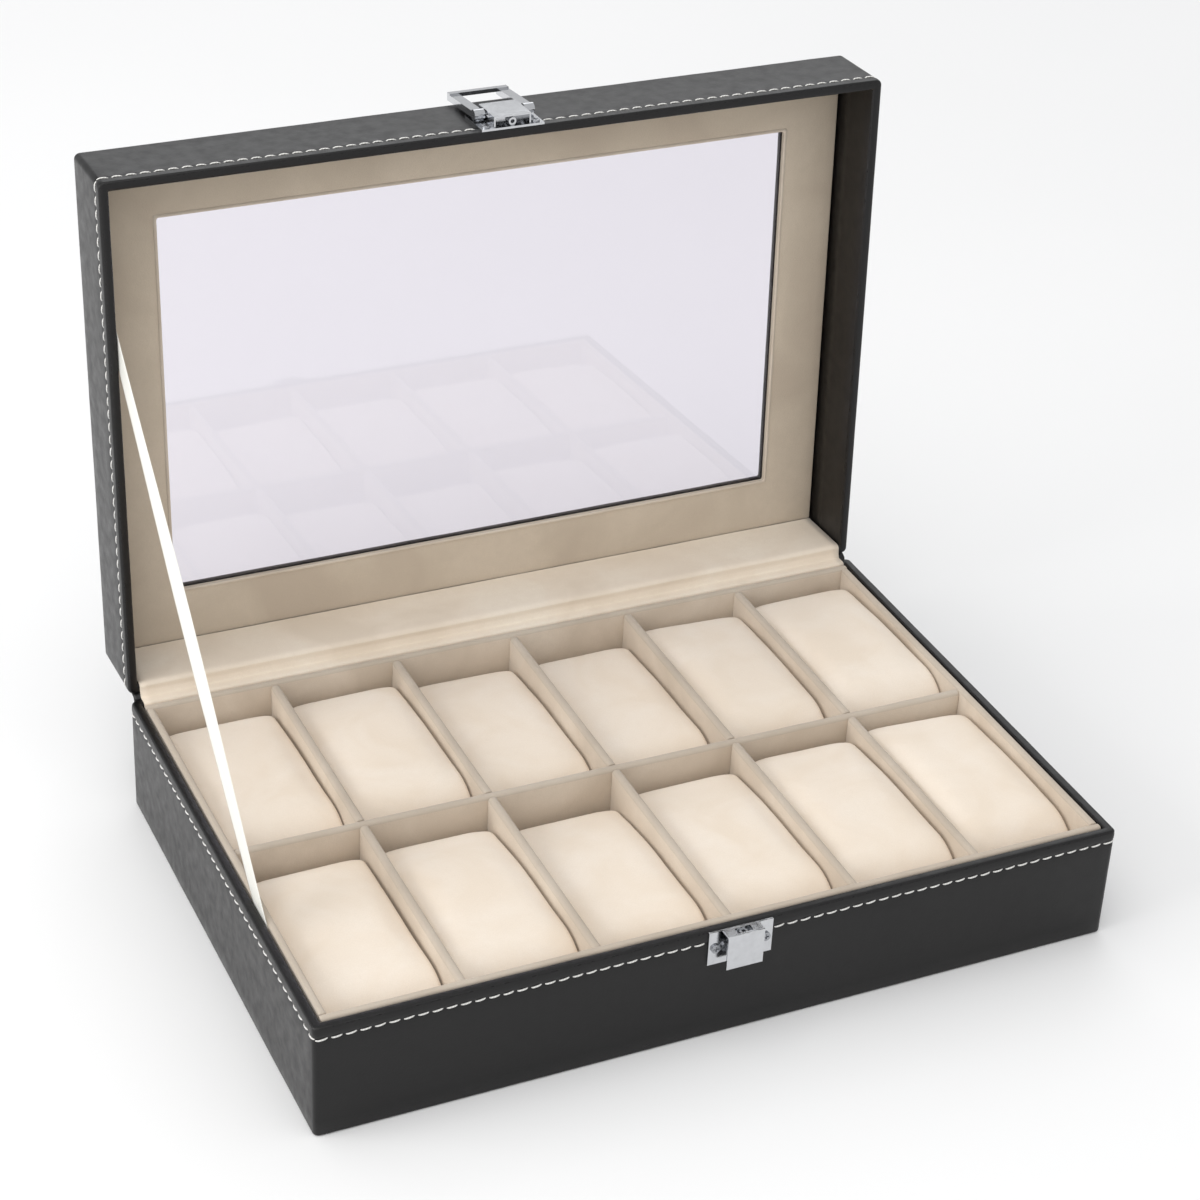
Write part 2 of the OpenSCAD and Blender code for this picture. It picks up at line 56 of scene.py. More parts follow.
PIVOT = Vector(lid_joint["pos_m"])
OPENED = Matrix.Translation(PIVOT) @ Matrix.Rotation(math.radians(min(lid_joint["range_deg"])), 4, "X")
OPENED = OPENED @ Matrix.Translation(-PIVOT)
CLOSED = OPENED.inverted()


def box(node, space=Matrix.Identity(4)):
    """Lowest and highest corner of a CAD node, in mm, optionally as it lies when the lid is closed."""
    points = np.array([space @ v.co for v in CAD[node].data.vertices]) / MM
    return points.min(0), points.max(0)


# Sizes, in mm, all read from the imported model
base_lo, base_hi = box("base_cover")
BOX_W, BOX_D = base_hi[0] - base_lo[0], base_hi[1] - base_lo[1]
RIM = base_hi[2]
lid_lo, lid_hi = box("lid_cover", CLOSED)
LID_RIM, LID_TOP = lid_lo[2], lid_hi[2]
board_lo, board_hi = box("base_back_board")
LEATHER = BOX_D / 2 - board_hi[1]
BOARD = board_hi[1] - board_lo[1]
WALL = BOARD + 2 * LEATHER
cross_lo, cross_hi = box("cross_divider")
floor_lo, floor_hi = box("tray_floor")
lining_lo, lining_hi = box("lid_lining", CLOSED)
bead_lo, bead_hi = box("window_bead", CLOSED)
TOP_BOARD_Z = box("lid_top_board", CLOSED)[0][2]
glass_lo, glass_hi = box("glass_pane", CLOSED)

# How round the upright corners are, and how far the leatherette turns down inside the base
CORNER_R = 2.2
TURN_IN = 10


# Camera, at the photograph's viewing angle
camera_data = bpy.data.cameras.new("camera")
camera_data.sensor_width = 36
camera_data.lens = 88.56
camera_data.clip_start = 0.05
camera = bpy.data.objects.new("camera", camera_data)
bpy.context.scene.collection.objects.link(camera)
right = Vector((0.910634, -0.410845, 0.044186))
up = Vector((0.181233, 0.493206, 0.850825))
back = Vector((-0.371350, -0.766782, 0.523589))
turned = Matrix((right, up, back)).transposed().to_4x4()
camera.matrix_world = Matrix.Translation((-0.38890, -0.78429, 0.65223)) @ turned
bpy.context.scene.camera = camera
bpy.context.scene.view_settings.view_transform = "Standard"


# Materials


class Shade:
    """A material in the making: a Principled shader and short ways to add the nodes that feed it."""

    def __init__(self, name, colour, roughness, **sockets):
        self.material = bpy.data.materials.new(name)
        self.material.use_nodes = True
        self.tree = self.material.node_tree
        self.shader = self.tree.nodes["Principled BSDF"]
        self.place = self.tree.nodes.new("ShaderNodeTexCoord").outputs["Object"]
        self.set("Base Color", (*colour, 1))
        self.set("Roughness", roughness)
        for socket, value in sockets.items():
            self.set(socket.replace("_", " "), value)

    def set(self, socket, value):
        if isinstance(value, bpy.types.NodeSocket):
            self.tree.links.new(value, self.shader.inputs[socket])
        else:
            self.shader.inputs[socket].default_value = value

    def node(self, kind, output, inputs, **settings):
        node = self.tree.nodes.new(kind)
        for name, value in settings.items():
            setattr(node, name, value)
        for name, value in inputs.items():
            if isinstance(value, bpy.types.NodeSocket):
                self.tree.links.new(value, node.inputs[name])
            else:
                node.inputs[name].default_value = value
        return node.outputs[output]

    def stretched(self, x, y, z):
        return self.node("ShaderNodeVectorMath", 0, {0: self.place, 1: (x, y, z)}, operation="MULTIPLY")

    def noise(self, size, detail=3.0, roughness=0.55, place=None, distortion=0.0):
        """Noise whose features are about size millimetres across."""
        inputs = {
            "Vector": place or self.place,
            "Scale": 1 / (size * MM),
            "Detail": detail,
            "Roughness": roughness,
            "Distortion": distortion,
        }
        return self.node("ShaderNodeTexNoise", "Fac", inputs)

    def cells(self, size, place=None, feature="F1"):
        inputs = {"Vector": place or self.place, "Scale": 1 / (size * MM)}
        return self.node("ShaderNodeTexVoronoi", "Distance", inputs, feature=feature)

    def math(self, operation, a, b=0.0):
        return self.node("ShaderNodeMath", 0, {0: a, 1: b}, operation=operation)

    def between(self, value, low, high, from_low=0.0, from_high=1.0):
        inputs = {"Value": value, "From Min": from_low, "From Max": from_high, "To Min": low, "To Max": high}
        return self.node("ShaderNodeMapRange", "Result", inputs)

    def ramp(self, value, *stops):
        node = self.tree.nodes.new("ShaderNodeValToRGB")
        ramp = node.color_ramp
        while len(ramp.elements) < len(stops):
            ramp.elements.new(0.5)
        for element, (position, colour) in zip(ramp.elements, stops):
            element.position = position
            element.color = (*colour, 1)
        self.tree.links.new(value, node.inputs["Fac"])
        return node.outputs["Color"]

    def mix(self, amount, a, b):
        node = self.tree.nodes.new("ShaderNodeMix")
        node.data_type = "RGBA"
        for index, value in ((0, amount), (6, a), (7, b)):
            if isinstance(value, bpy.types.NodeSocket):
                self.tree.links.new(value, node.inputs[index])
            else:
                node.inputs[index].default_value = value if index == 0 else (*value, 1)
        return node.outputs[2]

    def attribute(self, name, output="Fac"):
        return self.node("ShaderNodeAttribute", output, {}, attribute_name=name)

    def bump(self, *layers):
        """Bump from (height, strength, depth in mm) layers, one over the other."""
        normal = None
        for height, strength, depth in layers:
            inputs = {"Height": height, "Strength": strength, "Distance": depth * MM}
            if normal is not None:
                inputs["Normal"] = normal
            normal = self.node("ShaderNodeBump", "Normal", inputs)
        self.set("Normal", normal)


def make_leather():
    s = Shade("leatherette", (0.008, 0.0075, 0.008), 0.38, Specular_IOR_Level=0.34)
    warp = s.noise(5, 2)
    shift = s.node("ShaderNodeTexNoise", "Color", {"Vector": s.place, "Scale": 400.0})
    shift = s.node("ShaderNodeVectorMath", 0, {0: shift, 1: (0.0006, 0.0006, 0.0006)}, operation="MULTIPLY")
    place = s.node("ShaderNodeVectorMath", 0, {0: s.place, 1: shift}, operation="ADD")
    grain = s.cells(0.85, place, "SMOOTH_F1")
    creases = s.cells(1.3, place, "DISTANCE_TO_EDGE")
    creases = s.between(creases, 0, 1, 0.0, 0.12)
    pores = s.noise(0.22, 2)
    worn = s.attribute("worn")
    tone = s.ramp(s.noise(38, 4), (0.3, (0.0040, 0.0037, 0.0040)), (0.7, (0.0062, 0.0057, 0.0060)))
    tone = s.mix(s.math("MULTIPLY", worn, s.between(s.noise(3, 3), 0.10, 0.60)), tone, (0.026, 0.0245, 0.0245))
    # The grain's creases are painted darker: painted shade in the creases
    s.set("Base Color", s.mix(s.between(creases, 0.35, 0), tone, (0.004, 0.004, 0.004)))
    rough = s.between(warp, 0.30, 0.42, 0.3, 0.7)
    s.set("Roughness", s.math("SUBTRACT", rough, s.math("MULTIPLY", worn, 0.08)))
    s.bump((s.noise(9, 2), 0.12, 0.25), (grain, 0.22, 0.07), (creases, 0.28, 0.035), (pores, 0.18, 0.02))
    return s.material


def make_fabric(name, shades, nap, depth, sheen):
    """Short-pile fabric: cloudy nap, fine fuzz and a soft sheen."""
    s = Shade(name, shades[1], 0.92, Sheen_Weight=sheen, Sheen_Roughness=0.45, Specular_IOR_Level=0.18)
    clouds = s.noise(nap, 3, 0.5, distortion=0.6)
    brushed = s.noise(3.0, 3, 0.6)
    fuzz = s.noise(0.35, 3, 0.7)
    pile = s.cells(0.5)
    tone = s.ramp(clouds, (0.34, shades[0]), (0.5, shades[1]), (0.68, shades[2]))
    tone = s.mix(s.between(brushed, 0.0, 0.25, 0.35, 0.75), tone, shades[0])
    # Painted shade: the fabric is darkened along the tops of the tray's boards
    tone = s.mix(s.math("MULTIPLY", s.attribute("painted_shade_top"), 0.40), tone, tuple(0.55 * c for c in shades[0]))
    s.set("Base Color", s.mix(s.between(fuzz, 0, 0.26, 0.38, 0.72), tone, tuple(0.80 * c for c in shades[0])))
    s.set("Roughness", s.between(brushed, 0.86, 0.98))
    s.bump((brushed, 0.3, 0.25 * depth), (fuzz, 0.55, 0.16 * depth), (pile, 0.3, 0.12 * depth))
    return s.material


def make_thread():
    s = Shade("thread", (0.80, 0.79, 0.76), 0.62, Sheen_Weight=0.25)
    along = s.attribute("along")
    around = s.attribute("around")
    twist = s.math("SINE", s.math("MULTIPLY", s.math("ADD", along, s.math("MULTIPLY", around, 0.5)), 2 * math.pi))
    fibres = s.noise(0.12, 2)
    # The grooves of the twist are painted darker: painted shade between the plies
    s.set("Base Color", s.mix(s.between(twist, 0.45, 0, -1.0, 0.4), (0.86, 0.85, 0.82), (0.50, 0.48, 0.45)))
    s.set("Roughness", s.between(fibres, 0.5, 0.75))
    s.bump((twist, 0.6, 0.10), (fibres, 0.4, 0.03))
    return s.material


def make_satin():
    s = Shade("satin", (0.78, 0.77, 0.72), 0.42, Sheen_Weight=0.15)
    across = s.attribute("around")
    along = s.attribute("along")
    ribs = s.math("SINE", s.math("MULTIPLY", along, 2 * math.pi))
    edge = s.between(s.math("ABSOLUTE", across), 0, 1, 0.82, 1.0)
    # The troughs of the ribs are painted darker: painted shade in the weave
    s.set("Base Color", s.mix(s.between(ribs, 0.22, 0, -1.0, 0.6), (0.80, 0.79, 0.735), (0.64, 0.63, 0.575)))
    s.set("Roughness", s.between(s.noise(2.2, 3), 0.30, 0.46))
    s.bump((ribs, 0.4, 0.05), (edge, 0.5, 0.08), (s.noise(7, 2), 0.3, 0.3))
    return s.material


def make_chrome(name, colour, low, high, scratch):
    s = Shade(name, colour, low, Metallic=1.0)
    scratches = s.noise(0.35, 3, 0.6, s.stretched(0.12, 1.6, 1.6))
    haze = s.noise(2.4, 4)
    s.set("Base Color", s.mix(s.between(haze, 0, 0.4, 0.4, 0.75), colour, tuple(0.78 * c for c in colour)))
    s.set("Roughness", s.between(s.math("ADD", haze, s.math("MULTIPLY", scratches, 0.6)), low, high, 0.45, 1.1))
    s.bump((scratches, scratch, 0.02), (s.noise(1.5, 2), 0.2, 0.03))
    return s.material


def make_glass():
    s = Shade("glass", (0.83, 0.80, 0.86), 0.0, Transmission_Weight=1.0, IOR=1.5)
    smudges = s.noise(42, 5, 0.6, distortion=1.0)
    s.set("Roughness", s.between(smudges, 0.0, 0.05, 0.55, 0.8))
    s.bump((s.noise(70, 2), 0.08, 0.2))
    return s.material


def make_board():
    s = Shade("board", (0.42, 0.31, 0.19), 0.8)
    fibres = s.noise(1.1, 5, 0.7, s.stretched(0.5, 1.0, 1.6))
    tone = s.ramp(fibres, (0.3, (0.26, 0.18, 0.10)), (0.55, (0.42, 0.31, 0.19)), (0.8, (0.55, 0.43, 0.28)))
    s.set("Base Color", tone)
    s.bump((fibres, 0.5, 0.15))
    return s.material


def make_felt():
    s = Shade("felt", (0.012, 0.012, 0.013), 0.95, Sheen_Weight=0.35, Sheen_Roughness=0.5)
    hairs = s.noise(0.6, 4, 0.75, distortion=1.5)
    s.set("Base Color", s.ramp(hairs, (0.35, (0.007, 0.007, 0.008)), (0.7, (0.030, 0.030, 0.032))))
    s.bump((hairs, 0.8, 0.3), (s.noise(4, 2), 0.4, 0.4))
    return s.material


def make_floor():
    s = Shade("studio_floor", (0.90, 0.90, 0.90), 0.9, Specular_IOR_Level=0.2)
    s.set("Base Color", s.ramp(s.noise(400, 2), (0.3, (0.895, 0.895, 0.895)), (0.7, (0.91, 0.91, 0.91))))
    return s.material


LEATHERETTE = make_leather()
LINING_SHADES = ((0.59, 0.505, 0.41), (0.655, 0.565, 0.465), (0.71, 0.625, 0.525))
# The lining's cloth painted lighter for the hinge strip and the lid's rear wall: painted light
LIT_LINING_SHADES = ((0.77, 0.665, 0.54), (0.83, 0.725, 0.60), (0.87, 0.78, 0.66))
# The lining's cloth painted darker for the lid's panel: painted shade
SHADED_PANEL_TONES = ((0.55, 0.465, 0.37), (0.60, 0.515, 0.41), (0.65, 0.56, 0.45))
VELOUR_SHADES = ((0.83, 0.72, 0.595), (0.86, 0.76, 0.645), (0.88, 0.79, 0.685))
LINING = make_fabric("lining", LINING_SHADES, 30, 0.8, 0.25)
LIT_LINING = make_fabric("back_lining", LIT_LINING_SHADES, 34, 0.8, 0.25)
PANEL = make_fabric("panel_lining", SHADED_PANEL_TONES, 40, 0.8, 0.25)
VELOUR = make_fabric("velour", VELOUR_SHADES, 26, 0.4, 0.28)
THREAD = make_thread()
SATIN = make_satin()
CHROME = make_chrome("chrome", (0.62, 0.63, 0.65), 0.06, 0.20, 0.25)
# A darker copy of the chrome for the screws, the hinge pin and the spring; the darkness is painted shade for the
# screws' recesses
SHADED_STEEL = make_chrome("shaded_steel", (0.36, 0.37, 0.39), 0.16, 0.34, 0.4)
GLASS = make_glass()
WOOD = make_board()
FELT = make_felt()


# Building pieces


def piece(name, points, faces, material, body, replaces=(), lid=False, smooth=True):
    """A new mesh piece from points in mm; lid=True takes them as drawn for the closed lid."""
    mesh = bpy.data.meshes.new(name)
    mesh.from_pydata([tuple(p) for p in np.asarray(points, float) * MM], [], faces)
    if lid:
        mesh.transform(OPENED)
    tidy = bmesh.new()
    tidy.from_mesh(mesh)
    bmesh.ops.recalc_face_normals(tidy, faces=tidy.faces)
    tidy.to_mesh(mesh)
    tidy.free()
    mesh.materials.append(material)
    mesh.polygons.foreach_set("use_smooth", [smooth] * len(mesh.polygons))
    obj = bpy.data.objects.new(name, mesh)
    bpy.context.scene.collection.objects.link(obj)
    if body:
        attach(obj, body)
    if replaces:
        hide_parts(*replaces)
    return obj


def store(obj, name, values):
    """Keeps a number at every vertex, for the material to read."""
    attribute = obj.data.attributes.new(name, "FLOAT", "POINT")
    attribute.data.foreach_set("value", np.asarray(values, np.float32))


def wander(p, size, seed=0.0):
    """Smooth noise from -1 to 1 at a point in mm."""
    return noise.noise(Vector((p[0] / size + seed, p[1] / size - seed, p[2] / size + 2 * seed)))


def ring(w, d, r, z, cy=0.0, long_steps=72, short_steps=48, corner_steps=6):
    """Points round a rectangle with round corners, always the same number in the same order."""
    r = max(r, 0.02)
    corners = ((1, -1, -90), (1, 1, 0), (-1, 1, 90), (-1, -1, 180))
    points = []
    for k, (sx, sy, a0) in enumerate(corners):
        for i in range(corner_steps + 1):
            a = math.radians(a0 + 90 * i / corner_steps)
            points.append((sx * (w / 2 - r) + r * math.cos(a), cy + sy * (d / 2 - r) + r * math.sin(a), z))
        nx, ny, na = corners[(k + 1) % 4]
        na = math.radians(na)
        end = (nx * (w / 2 - r) + r * math.cos(na), cy + ny * (d / 2 - r) + r * math.sin(na))
        steps = short_steps if k % 2 == 0 else long_steps
        start = points[-1]
        for i in range(1, steps):
            t = i / steps
            points.append((start[0] + (end[0] - start[0]) * t, start[1] + (end[1] - start[1]) * t, z))
    return points


def loft(rings, closed=True):
    """Quads between rings of equal length; closed joins the last ring to the first."""
    n = len(rings[0])
    points = [p for r in rings for p in r]
    faces = []
    last = len(rings) if closed else len(rings) - 1
    for j in range(last):
        a, b = j * n, ((j + 1) % len(rings)) * n
        for i in range(n):
            k = (i + 1) % n
            faces.append((a + i, a + k, b + k, b + i))
    return points, faces


def fillet(cx, cz, r, a0, a1, steps=5):
    """(inset, height) points of a round edge."""
    turn = [math.radians(a0 + (a1 - a0) * k / steps) for k in range(steps + 1)]
    return [(cx + r * math.cos(a), cz + r * math.sin(a)) for a in turn]


def leather_skin(name, profile, skin, body, replaces, lid=False, rough=0.07):
    """Leatherette swept round the box; profile is rings of (w, d, r, z, cy), and the first `skin` of them show."""
    rings = [ring(w, d, r, z, cy) for w, d, r, z, cy in profile]
    points, faces = loft(rings)
    points = np.array(points)
    n = len(rings[0])
    for i in range(skin * n):
        p = points[i]
        push = rough * (wander(p, 24, 3.1) + 0.5 * wander(p, 8, 7.7))
        outward = Vector((p[0] / (BOX_W / 2), p[1] / (BOX_D / 2)))
        side = 0 if abs(outward[0]) > abs(outward[1]) else 1
        points[i, side] += push * (1 if p[side] > 0 else -1) * (1 if abs(outward[side]) > 0.97 else -1)
        points[i, 2] += 0.5 * push
    obj = piece(name, points, faces, LEATHERETTE, body, replaces, lid)
    return obj, n


def wear(obj, n, worn_rings):
    """Marks rings of n points as worn, so that the leatherette is paler there."""
    values = np.zeros(len(obj.data.vertices), np.float32)
    for index, amount in worn_rings.items():
        values[index * n:(index + 1) * n] = amount
    store(obj, "worn", values)


# Base: leatherette over the walls and rim

STITCH_DROP = 4.6
RIM_ROUND = 1.0


def inset(points):
    """Rings of the box's outline from (inset, height) points."""
    return [(BOX_W - 2 * i, BOX_D - 2 * i, max(CORNER_R - i, 0.35), z, 0.0) for i, z in points]


stitch_z = RIM - STITCH_DROP
outer = [(0.45, base_lo[2]), (0.12, base_lo[2] + 0.15), (0.0, base_lo[2] + 0.6)]
outer += [(0.0, base_lo[2] + h) for h in (6, 13, 20, 27, 34)]
outer += [(0.0, stitch_z - 1.4), (0.10, stitch_z - 0.6), (0.26, stitch_z), (0.10, stitch_z + 0.6)]
outer += [(-0.05, stitch_z + 1.4), (-0.10, stitch_z + 2.3)]
outer += fillet(RIM_ROUND, RIM - RIM_ROUND, RIM_ROUND, 180, 90)
rim_first = len(outer) - 6
outer += [(WALL / 2, RIM + 0.04)]
outer += fillet(WALL - RIM_ROUND, RIM - RIM_ROUND, RIM_ROUND, 90, 0)
outer += [(WALL, RIM - 4), (WALL, RIM - TURN_IN)]
inner = [(WALL - LEATHER, RIM - TURN_IN), (WALL - LEATHER, RIM - LEATHER)]
inner += [(LEATHER, RIM - LEATHER), (LEATHER, base_lo[2])]
base_cover, base_n = leather_skin("base_leather", inset(outer + inner), len(outer) - 2, "base", ["base_cover"])
wear(base_cover, base_n, {0: 0.8, 1: 1.0, 2: 0.5, rim_first + 1: 0.5, rim_first + 2: 1.0, rim_first + 3: 0.7,
                          rim_first + 8: 0.6, rim_first + 9: 0.9, rim_first + 10: 0.4})

# Lid: leatherette over the outside, the rim, the inner walls and the window's edge

window_w = bead_hi[0] - bead_lo[0]
window_d = bead_hi[1] - bead_lo[1]
window_y = (bead_hi[1] + bead_lo[1]) / 2
open_w = 2 * min(abs(v.co.x) for v in CAD["window_bead"].data.vertices) / MM
BEAD_W = (window_w - open_w) / 2
open_d = window_d - 2 * BEAD_W
lid_stitch = LID_RIM + STITCH_DROP

lid_profile = [(WALL, TOP_BOARD_Z), (WALL, LID_RIM + 16), (WALL, LID_RIM + 7)]
lid_profile += fillet(WALL - RIM_ROUND, LID_RIM + RIM_ROUND, RIM_ROUND, 0, -90)
lid_profile += [(WALL / 2, LID_RIM - 0.04)]
lid_profile += fillet(RIM_ROUND, LID_RIM + RIM_ROUND, RIM_ROUND, -90, -180)
lid_profile += [(-0.10, lid_stitch - 2.3), (-0.05, lid_stitch - 1.4), (0.10, lid_stitch - 0.6), (0.26, lid_stitch)]
lid_profile += [(0.10, lid_stitch + 0.6), (0.0, lid_stitch + 1.4)]
lid_profile += [(0.0, LID_RIM + h) for h in (12, 18, 24)]
lid_profile += fillet(1.3, LID_TOP - 1.3, 1.3, 180, 90)
lid_top_first = len(lid_profile) - 6
rings = inset(lid_profile)
for t in (0.12, 0.3, 0.5, 0.7, 0.88):
    rings.append((BOX_W + (open_w - BOX_W) * t, BOX_D + (open_d - BOX_D) * t, CORNER_R, LID_TOP, window_y * t))
for i, z in fillet(-0.9, LID_TOP - 0.9, 0.9, 90, 0, 4):
    rings.append((open_w - 2 * i, open_d - 2 * i, 0.8, z, window_y))
rings.append((open_w, open_d, 0.8, TOP_BOARD_Z, window_y))
lid_skin = len(rings)
grown = (open_w + 2 * LEATHER, open_d + 2 * LEATHER, 0.8)
rings += [(*grown, TOP_BOARD_Z, window_y), (*grown, LID_TOP - LEATHER, window_y)]
rings += inset([(LEATHER, LID_TOP - LEATHER), (LEATHER, LID_RIM + LEATHER), (WALL - LEATHER, LID_RIM + LEATHER),
                (WALL - LEATHER, TOP_BOARD_Z)])
lid_cover, lid_n = leather_skin("lid_leather", rings, lid_skin - 2, "lid", ["lid_cover"], lid=True)
wear(lid_cover, lid_n, {4: 0.4, 5: 0.9, 6: 0.6, 10: 0.7, 11: 1.0, 12: 0.5, lid_top_first + 1: 0.5,
                        lid_top_first + 2: 1.0, lid_top_first + 3: 0.9, lid_top_first + 4: 0.4})


# Stitches: each is a short arched thread whose ends dive into the leatherette

STITCH_PITCH = 5.0
STITCH_LENGTH = 4.3
STITCH_SUNK = 0.12
ROW_MARGIN = 0.5
THREAD_R = 0.30


def stitch(centre, along, out, side, slant):
    """One stitch: points, faces, and values along and round it."""
    sides, stations = 8, 9
    rings_ = []
    data_along, data_around = [], []
    across = Vector(side)
    axis = (Vector(along) + slant * across).normalized()
    cross = (across - slant * Vector(along)).normalized()
    for k in range(stations):
        t = k / (stations - 1)
        rise = 0.16 - 0.62 * abs(2 * t - 1) ** 3.2
        r = THREAD_R * (0.55 + 0.45 * math.sin(math.pi * min(max(t, 0.06), 0.94)) ** 0.5)
        middle = Vector(centre) + axis * (t - 0.5) * STITCH_LENGTH + Vector(out) * rise
        row = []
        for q in range(sides):
            a = 2 * math.pi * q / sides
            row.append(middle + cross * (1.15 * r * math.cos(a)) + Vector(out) * (0.85 * r * math.sin(a)))
            data_along.append(t * STITCH_LENGTH / 1.1)
            data_around.append(q / sides * 2)
        rings_.append(row)
    points, faces = loft(rings_, closed=False)
    root = Vector(centre) - Vector(out) * 0.46
    points += [root - axis * (0.5 * STITCH_LENGTH), root + axis * (0.5 * STITCH_LENGTH)]
    n = len(points)
    for q in range(sides):
        k = (q + 1) % sides
        faces.append((q, n - 2, k))
        faces.append(((stations - 1) * sides + q, (stations - 1) * sides + k, n - 1))
    return points, faces, data_along + [0, 1], data_around + [0, 0]


def stitch_row(name, z, body, skip, lid):
    """Stitches along the left side, the front and the right side at height z; skip is the X span a plate covers."""
    points, faces, along_values, around_values = [], [], [], []
    hw, hd = BOX_W / 2, BOX_D / 2
    rows = [
        ((-hw, hd), (-hw, -hd), (0, -1, 0), (-1, 0, 0)),
        ((-hw, -hd), (skip[0], -hd), (1, 0, 0), (0, -1, 0)),
        ((skip[1], -hd), (hw, -hd), (1, 0, 0), (0, -1, 0)),
        ((hw, -hd), (hw, hd), (0, 1, 0), (1, 0, 0)),
    ]
    serial = 0
    for (x0, y0), (x1, y1), along, out in rows:
        length = abs(x1 - x0) + abs(y1 - y0)
        sewn = length - 2 * ROW_MARGIN
        count = round(sewn / STITCH_PITCH)
        for k in range(count):
            serial += 1
            s = ROW_MARGIN + sewn * (k + 0.5) / count
            jitter = 0.14 * math.sin(serial * 12.9898)
            x, y = x0 + along[0] * s - out[0] * STITCH_SUNK, y0 + along[1] * s - out[1] * STITCH_SUNK
            slant = (-0.10 if lid else 0.10) + 0.04 * math.sin(serial * 78.233)
            p, f, al, ar = stitch((x, y, z + jitter), along, out, (0, 0, 1), slant)
            faces += [tuple(i + len(points) for i in face) for face in f]
            points += p
            along_values += al
            around_values += ar
    obj = piece(name, points, faces, THREAD, body, (), lid)
    store(obj, "along", along_values)
    store(obj, "around", around_values)


keeper_lo, keeper_hi = box("keeper_plate")
plate_lo, plate_hi = box("clasp_plate", CLOSED)
stitch_row("base_stitches", stitch_z, "base", (keeper_lo[0], keeper_hi[0]), False)
stitch_row("lid_stitches", lid_stitch, "lid", (plate_lo[0], plate_hi[0]), True)


# Fabric-covered boards of the tray


def padded_board(name, lo, hi, top_r, end_r, replaces, seed, rough=0.10):
    """A thin upright board with fabric drawn over it: round top, round ends and a slightly uneven surface."""
    size = np.array(hi) - np.array(lo)
    run = 0 if size[0] > size[1] else 1
    thick = 1 - run
    half, length, height = size[thick] / 2, size[run], size[2]
    section = [(-half, 0.0), (-half, 0.25 * height), (-half, 0.5 * height), (-half, 0.75 * height)]
    section += [(-half + top_r + top_r * math.cos(a), height - top_r + top_r * math.sin(a))
                for a in np.radians(np.linspace(180, 90, 6))]
    section += [(-x, z) for x, z in reversed(section)]
    steps = max(int(length / 3.0), 6)
    turns = [math.radians(a) for a in (0, 30, 60)]
    stations = [(end_r * (1 - math.cos(a)), end_r * (1 - math.sin(a))) for a in turns]
    stations += [(s, 0.0) for s in np.linspace(end_r, length - end_r, steps)]
    stations += [(length - s, v) for s, v in reversed(stations[:3])]
    rows = []
    for s, shrink in stations:
        row = []
        for x, z in section:
            x = math.copysign(max(abs(x) - shrink, 0.05), x) if abs(x) > 1e-6 else 0.0
            z = min(z, height - 0.7 * shrink)
            p = [0.0, 0.0, lo[2] + z]
            p[run] = lo[run] + s
            p[thick] = (lo[thick] + hi[thick]) / 2 + x
            w = rough * min(z / 3, 1)
            p[2] += 0.7 * w * wander(p, 11, seed) - 0.02 if z > 0.5 * height else 0
            p[thick] += 0.35 * w * (wander(p, 16, seed + 5) - 0.3) * (1 if x > 0 else -1)
            row.append(p)
        rows.append(row)
    n = len(section)
    points = [p for row in rows for p in row]
    faces = []
    for j in range(len(rows) - 1):
        for i in range(n):
            k = (i + 1) % n
            faces.append((j * n + i, j * n + k, (j + 1) * n + k, (j + 1) * n + i))
    faces.append(tuple(range(n)))
    faces.append(tuple((len(rows) - 1) * n + i for i in range(n)))
    obj = piece(name, points, faces, LINING, "base", replaces)
    # Marks the top of the board, where the fabric is painted darker as shade
    store(obj, "painted_shade_top", [1.0 if p[2] > hi[2] - 0.8 * top_r else 0.0 for p in points])


LINER_TOP_R = 1.15
DIVIDER_TOP_R = 1.35
CROSSING_GAP = 0.06

for index, node in enumerate(("liner_front", "liner_back", "liner_left", "liner_right")):
    lo, hi = box(node)
    padded_board(node + "_cover", lo, hi, LINER_TOP_R, 0.55, [node], 11.0 * index)
padded_board("cross_divider_cover", cross_lo, cross_hi, DIVIDER_TOP_R, 0.45, ["cross_divider"], 4.2)
for index in range(1, COLUMNS):
    name = f"divider_{index}"
    lo, hi = box(name)
    front_hi = (hi[0], cross_lo[1] - CROSSING_GAP, hi[2])
    back_lo = (lo[0], cross_hi[1] + CROSSING_GAP, lo[2])
    padded_board(name + "_front_cover", lo, front_hi, DIVIDER_TOP_R, 0.5, [name], 20.0 + index)
    padded_board(name + "_back_cover", back_lo, hi, DIVIDER_TOP_R, 0.5, [], 40.0 + index)


def soft_slab(name, lo, hi, r, replaces, rough=0.12):
    """A flat fabric-covered piece with round upper edges."""
    w, d = hi[0] - lo[0], hi[1] - lo[1]
    cx, cy = (hi[0] + lo[0]) / 2, (hi[1] + lo[1]) / 2
    rings_ = [ring(w, d, r, lo[2], cy)]
    rings_ += [ring(w - 2 * i, d - 2 * i, r, z, cy) for i, z in fillet(r, hi[2] - r, r, 180, 90, 4)]
    rings_ += [ring(w * t, d * t, r, hi[2], cy) for t in (0.9, 0.7, 0.5, 0.3, 0.1)]
    points, faces = loft(rings_, closed=False)
    n = len(rings_[0])
    points = np.array(points)
    points[:, 0] += cx
    points[n:, 2] += [rough * wander(p, 14, 2.0) for p in points[n:]]
    faces.append(tuple(range(n)))
    faces.append(tuple(range(len(points) - n, len(points))))
    piece(name, points, faces, LINING, "base", replaces)


soft_slab("tray_floor_cover", floor_lo, floor_hi, 0.4, ["tray_floor"])


# Lid lining: the panel round the window and the narrow welt along its edge

